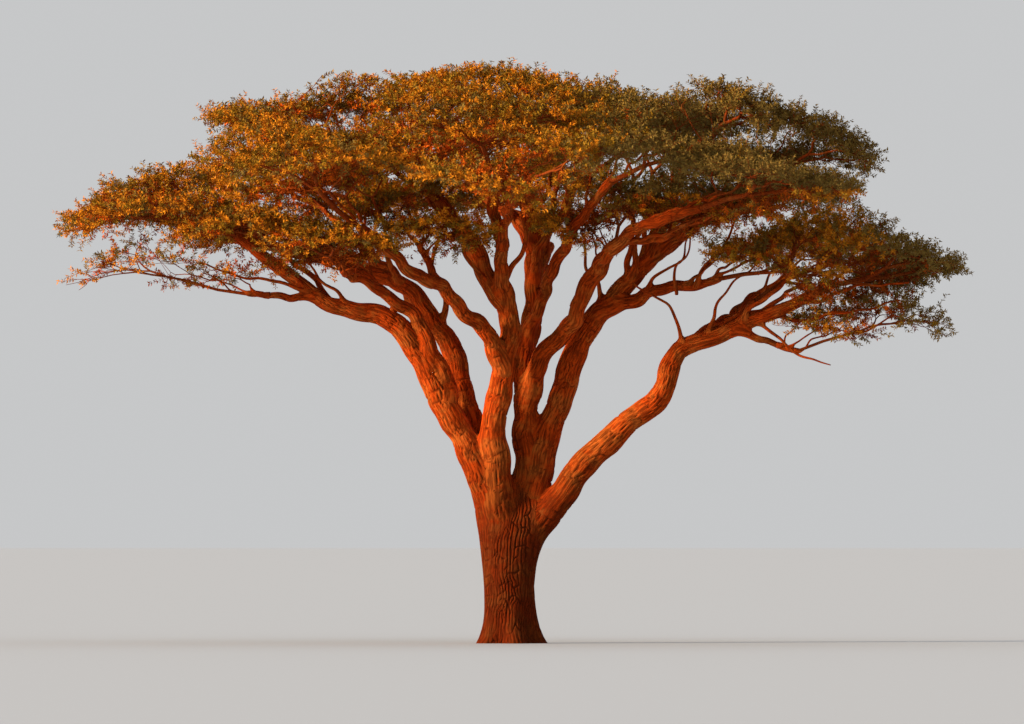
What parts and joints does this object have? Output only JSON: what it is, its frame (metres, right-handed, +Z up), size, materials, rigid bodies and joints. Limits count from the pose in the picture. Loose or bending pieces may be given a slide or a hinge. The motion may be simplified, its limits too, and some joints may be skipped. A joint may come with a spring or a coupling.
{
  "type": "umbrella thorn acacia tree",
  "caption": "Flat-topped savanna acacia: a short stout trunk forks low into spreading boughs that carry tiered, airy pads of fine golden-green foliage.",
  "frame": {"origin": "centre of the flat cut at ground level under the trunk", "axes": "+Z up, +X to the right of a viewer who stands on the -Y side, where the picture was taken from"},
  "size_m": [15.2741, 13.9846, 9.8652],
  "materials": {
    "bark": "rough fissured bark",
    "foliage": "fine matte leaflets on twigs"
  },
  "bodies": {
    "root": {"trunk": "bark", "bough_left_outer": "bark", "bough_left_low": "bark", "bough_left_front": "bark", "bough_low_left": "bark", "bough_left_inner": "bark", "bough_back_left": "bark", "bough_centre": "bark", "bough_crossing_left": "bark", "bough_inner_left": "bark", "bough_front": "bark", "bough_front_low": "bark", "bough_centre_back": "bark", "bough_crossing_right": "bark", "bough_back": "bark", "bough_top_back_left": "bark", "bough_top_back_right": "bark", "bough_right_inner": "bark", "bough_inner_right": "bark", "bough_low_right": "bark", "bough_right": "bark", "bough_right_middle": "bark", "bough_far_right": "bark", "bough_back_right": "bark", "bough_right_outer": "bark", "bough_right_low": "bark", "bough_right_back": "bark", "crown_left_outer": "foliage", "crown_left_fringe": "foliage", "crown_left_inner": "foliage", "crown_low_left": "foliage", "crown_left_back": "foliage", "crown_back_left": "foliage", "crown_top_left": "foliage", "crown_front_left": "foliage", "crown_inner_left": "foliage", "crown_top_front": "foliage", "crown_front": "foliage", "crown_top": "foliage", "crown_top_front_right": "foliage", "crown_back": "foliage", "crown_top_back_left": "foliage", "crown_top_back_right": "foliage", "crown_front_right": "foliage", "crown_inner_right": "foliage", "crown_low_right": "foliage", "crown_top_right": "foliage", "crown_right_inner": "foliage", "crown_top_far_right": "foliage", "crown_back_right": "foliage", "crown_right_outer": "foliage", "crown_right_fringe": "foliage", "crown_right_back": "foliage"}
  },
  "joints": []
}
